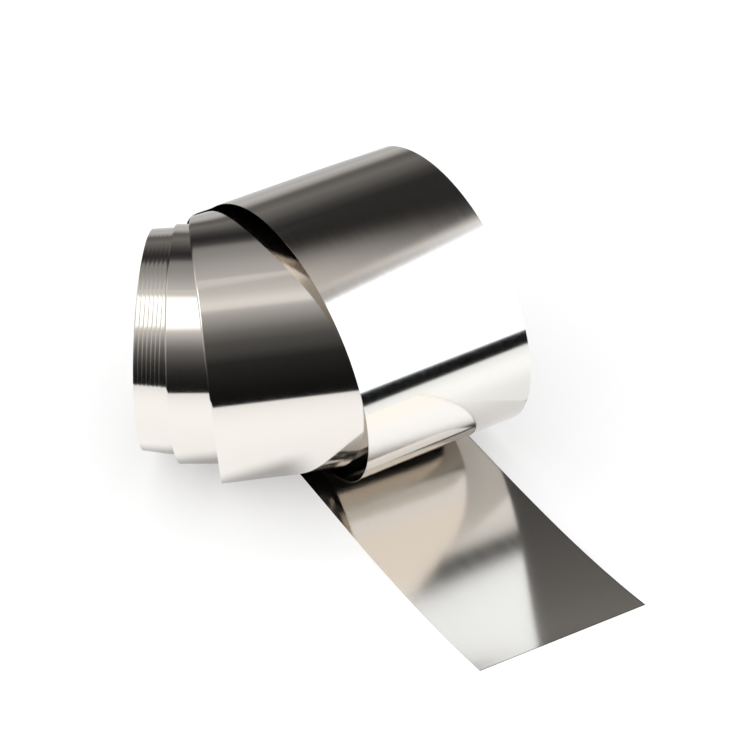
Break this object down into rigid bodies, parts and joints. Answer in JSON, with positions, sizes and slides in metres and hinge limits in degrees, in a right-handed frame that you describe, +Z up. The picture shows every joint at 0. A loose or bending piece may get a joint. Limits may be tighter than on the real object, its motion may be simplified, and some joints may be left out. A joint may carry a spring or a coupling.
{
  "type": "stainless steel foil roll",
  "caption": "Bright stainless steel foil strip wound into a loose, telescoped roll, its free end lying flat in front.",
  "frame": {"origin": "middle of the roll's box, on the floor it stands on", "axes": "+Z up; +Y to the roll's back, away from the free end; +X to the right, along the tight turns' bore and away from the side on which they stand out"},
  "size_m": [0.2691, 0.312, 0.1711],
  "materials": {
    "foil": "bright rolled, mirror-like, with faint rolling lines"
  },
  "bodies": {
    "root": {"foil_strip": "foil"}
  },
  "joints": []
}
